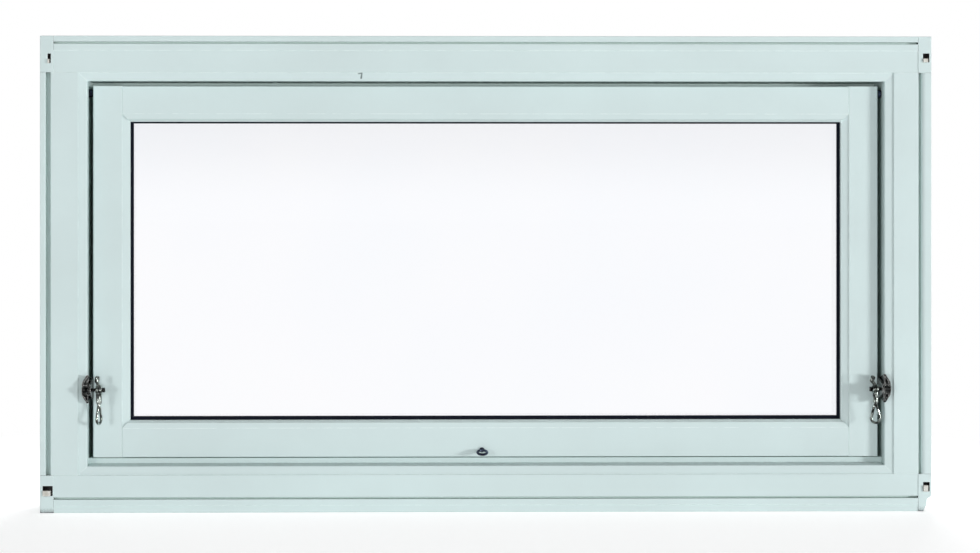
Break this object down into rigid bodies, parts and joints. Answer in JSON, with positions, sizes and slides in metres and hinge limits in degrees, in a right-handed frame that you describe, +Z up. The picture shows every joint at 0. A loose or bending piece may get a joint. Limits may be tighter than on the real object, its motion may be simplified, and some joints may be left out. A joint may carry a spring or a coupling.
{
  "type": "top hung window with snap hook catches",
  "caption": "White painted timber window unit with a double glazed top hung sash, side catches with hanging snap hooks and a screw eye on the bottom rail.",
  "frame": {"origin": "middle of the sill's underside, at mid depth of the frame", "axes": "+X to the right along the sill seen from the room side, +Y towards the weather side, +Z up"},
  "size_m": [0.89, 0.0956, 0.475],
  "materials": {
    "white_paint": "satin paint",
    "black_rubber": "matt",
    "clear_glass": "clear",
    "dark_spacer": "anodised",
    "worn_steel": "worn",
    "dark_steel": "blackened",
    "bright_steel": "zinc plated"
  },
  "bodies": {
    "window": {"catch_bracket_left": "dark_steel", "catch_bracket_right": "dark_steel", "catch_pin_left": "dark_steel", "catch_pin_right": "dark_steel", "corner_block_bottom_left": "white_paint", "corner_block_bottom_right": "white_paint", "corner_block_top_left": "white_paint", "corner_block_top_right": "white_paint", "corner_clips": "bright_steel", "frame_head": "white_paint", "frame_jamb_left": "white_paint", "frame_jamb_right": "white_paint", "frame_sill": "white_paint", "glass_pane_room": "clear_glass", "glass_pane_weather": "clear_glass", "glass_spacer": "dark_spacer", "glazing_bead_bottom": "white_paint", "glazing_bead_left": "white_paint", "glazing_bead_right": "white_paint", "glazing_bead_top": "white_paint", "glazing_gasket_room": "black_rubber", "glazing_gasket_weather": "black_rubber", "inner_bead_bottom": "white_paint", "inner_bead_left": "white_paint", "inner_bead_right": "white_paint", "inner_bead_top": "white_paint", "keeper_left": "dark_steel", "keeper_right": "dark_steel", "pivot_left": "dark_steel", "pivot_right": "dark_steel", "sash_bottom_rail": "white_paint", "sash_stile_left": "white_paint", "sash_stile_right": "white_paint", "sash_top_rail": "white_paint", "screw_eye": "dark_steel", "weather_seal_bottom": "black_rubber", "weather_seal_left": "black_rubber", "weather_seal_right": "black_rubber", "weather_seal_top": "black_rubber"},
    "left_snap": {"snap_hook_left": "worn_steel", "snap_trigger_left": "worn_steel", "snap_eye_left": "worn_steel"},
    "right_snap": {"snap_hook_right": "worn_steel", "snap_trigger_right": "worn_steel", "snap_eye_right": "worn_steel"}
  },
  "joints": [
    {"name": "left_snap_swing", "type": "hinge", "parent": "window", "child": "left_snap", "pos_m": [-0.386, -0.047, 0.1228], "axis": [-1, 0, 0], "range_deg": [-15, 90]},
    {"name": "right_snap_swing", "type": "hinge", "parent": "window", "child": "right_snap", "pos_m": [0.3878, -0.047, 0.1228], "axis": [-1, 0, 0], "range_deg": [-15, 90]}
  ]
}
